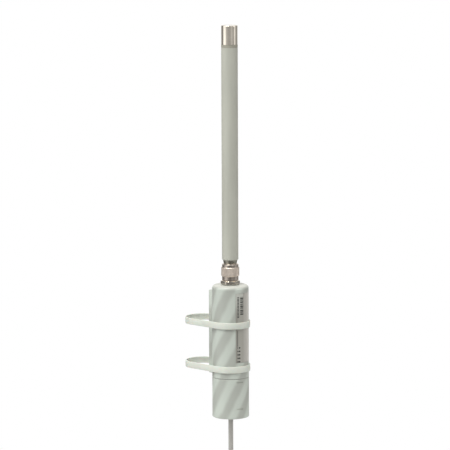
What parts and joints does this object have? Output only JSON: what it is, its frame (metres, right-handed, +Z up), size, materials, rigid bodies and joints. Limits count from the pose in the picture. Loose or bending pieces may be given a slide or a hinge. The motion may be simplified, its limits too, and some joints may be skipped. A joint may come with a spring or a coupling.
{
  "type": "omnidirectional antenna",
  "caption": "Slim vertical omnidirectional antenna on a tubular outdoor radio unit, tied to a pole, with a slide-off bottom cover and an Ethernet lead.",
  "frame": {"origin": "on the axis of the pole that carries the unit, midway between the cable ties", "axes": "+Z up along the pole and the antenna, -Y the unit's front, +X the right side seen from the front"},
  "size_m": [0.0634, 0.1064, 0.6663],
  "materials": {
    "housing_plastic": "light grey moulded plastic with soft diagonal bands",
    "label_film": "printed film, slightly darker grey",
    "radome_fibreglass": "smooth satin grey tube",
    "nickel_plate": "polished nickel plate, slightly warm",
    "radiator_brass": "plain turned brass",
    "contact_gold": "gold-plated contact",
    "ptfe": "white fluoropolymer",
    "black_rubber": "matt black rubber",
    "white_nylon": "natural white nylon, slightly translucent",
    "circuit_board": "green solder mask on glass laminate",
    "white_foam": "closed-cell white foam",
    "plain_steel": "plain steel",
    "clear_plastic": "clear moulded polycarbonate",
    "switch_plastic": "black moulded plastic",
    "lead_jacket": "grey vinyl cable jacket",
    "hook_and_loop": "black hook-and-loop strip"
  },
  "bodies": {
    "radio_unit": {"housing_shell": "housing_plastic", "front_label": "label_film", "jack_body": "nickel_plate", "jack_seal": "black_rubber", "jack_lock_washer": "plain_steel", "jack_lock_nut": "nickel_plate", "jack_insulator": "ptfe", "jack_contact": "contact_gold", "main_board": "circuit_board", "shield_can": "plain_steel", "left_board_screw": "plain_steel", "right_board_screw": "plain_steel", "light_guide": "clear_plastic", "rf_pigtail": "radiator_brass", "ethernet_jack": "plain_steel", "reset_switch": "switch_plastic", "inner_plug": "clear_plastic", "cover_gasket": "black_rubber", "upper_tie": "white_nylon", "lower_tie": "white_nylon", "ethernet_lead": "lead_jacket", "lead_hank": "lead_jacket", "lead_band": "hook_and_loop", "far_plug": "clear_plastic"},
    "antenna": {"radome_tube": "radome_fibreglass", "top_cap": "nickel_plate", "cap_seal": "black_rubber", "neck_bush": "nickel_plate", "feed_coax": "radiator_brass", "dipole_1_lower_cup": "radiator_brass", "dipole_1_upper_cup": "radiator_brass", "dipole_2_lower_cup": "radiator_brass", "dipole_2_upper_cup": "radiator_brass", "foam_spacer_1": "white_foam", "foam_spacer_2": "white_foam", "foam_spacer_3": "white_foam", "plug_body": "nickel_plate", "plug_insulator": "ptfe", "plug_pin": "contact_gold", "plug_gasket": "black_rubber", "retaining_ring": "plain_steel"},
    "coupling_nut": {"coupling_nut": "nickel_plate"},
    "bottom_cover": {"bottom_cover": "housing_plastic", "cable_grommet": "black_rubber"},
    "reset_button": {"reset_button": "switch_plastic"},
    "inner_latch": {"inner_latch": "clear_plastic"},
    "far_latch": {"far_latch": "clear_plastic"}
  },
  "joints": [
    {"name": "antenna_lift", "type": "slide", "parent": "radio_unit", "child": "antenna", "axis": [0, 0, 1], "range_m": [0, 0.01058]},
    {"name": "nut_turn", "type": "hinge", "parent": "antenna", "child": "coupling_nut", "pos_m": [0, -0.044, 0.0885], "axis": [0, 0, 1], "range_deg": [0, 3600]},
    {"name": "cover_slide", "type": "slide", "parent": "radio_unit", "child": "bottom_cover", "axis": [0, 0, -1], "range_m": [0, 0.05]},
    {"name": "reset_press", "type": "slide", "parent": "radio_unit", "child": "reset_button", "axis": [0, 1, 0], "range_m": [0, 0.0003], "stiffness_N_per_m": 4000},
    {"name": "inner_latch_press", "type": "hinge", "parent": "radio_unit", "child": "inner_latch", "pos_m": [0, -0.0488, -0.05545], "axis": [1, 0, 0], "range_deg": [0, 8], "stiffness_Nm_per_rad": 0.3},
    {"name": "far_latch_press", "type": "hinge", "parent": "radio_unit", "child": "far_latch", "pos_m": [0, -0.082, -0.2783], "axis": [-1, 0, 0], "range_deg": [0, 8], "stiffness_Nm_per_rad": 0.3}
  ],
  "couplings": [
    {"joint": "nut_turn", "follows": "antenna_lift", "rad_per_m": 5936.9}
  ]
}
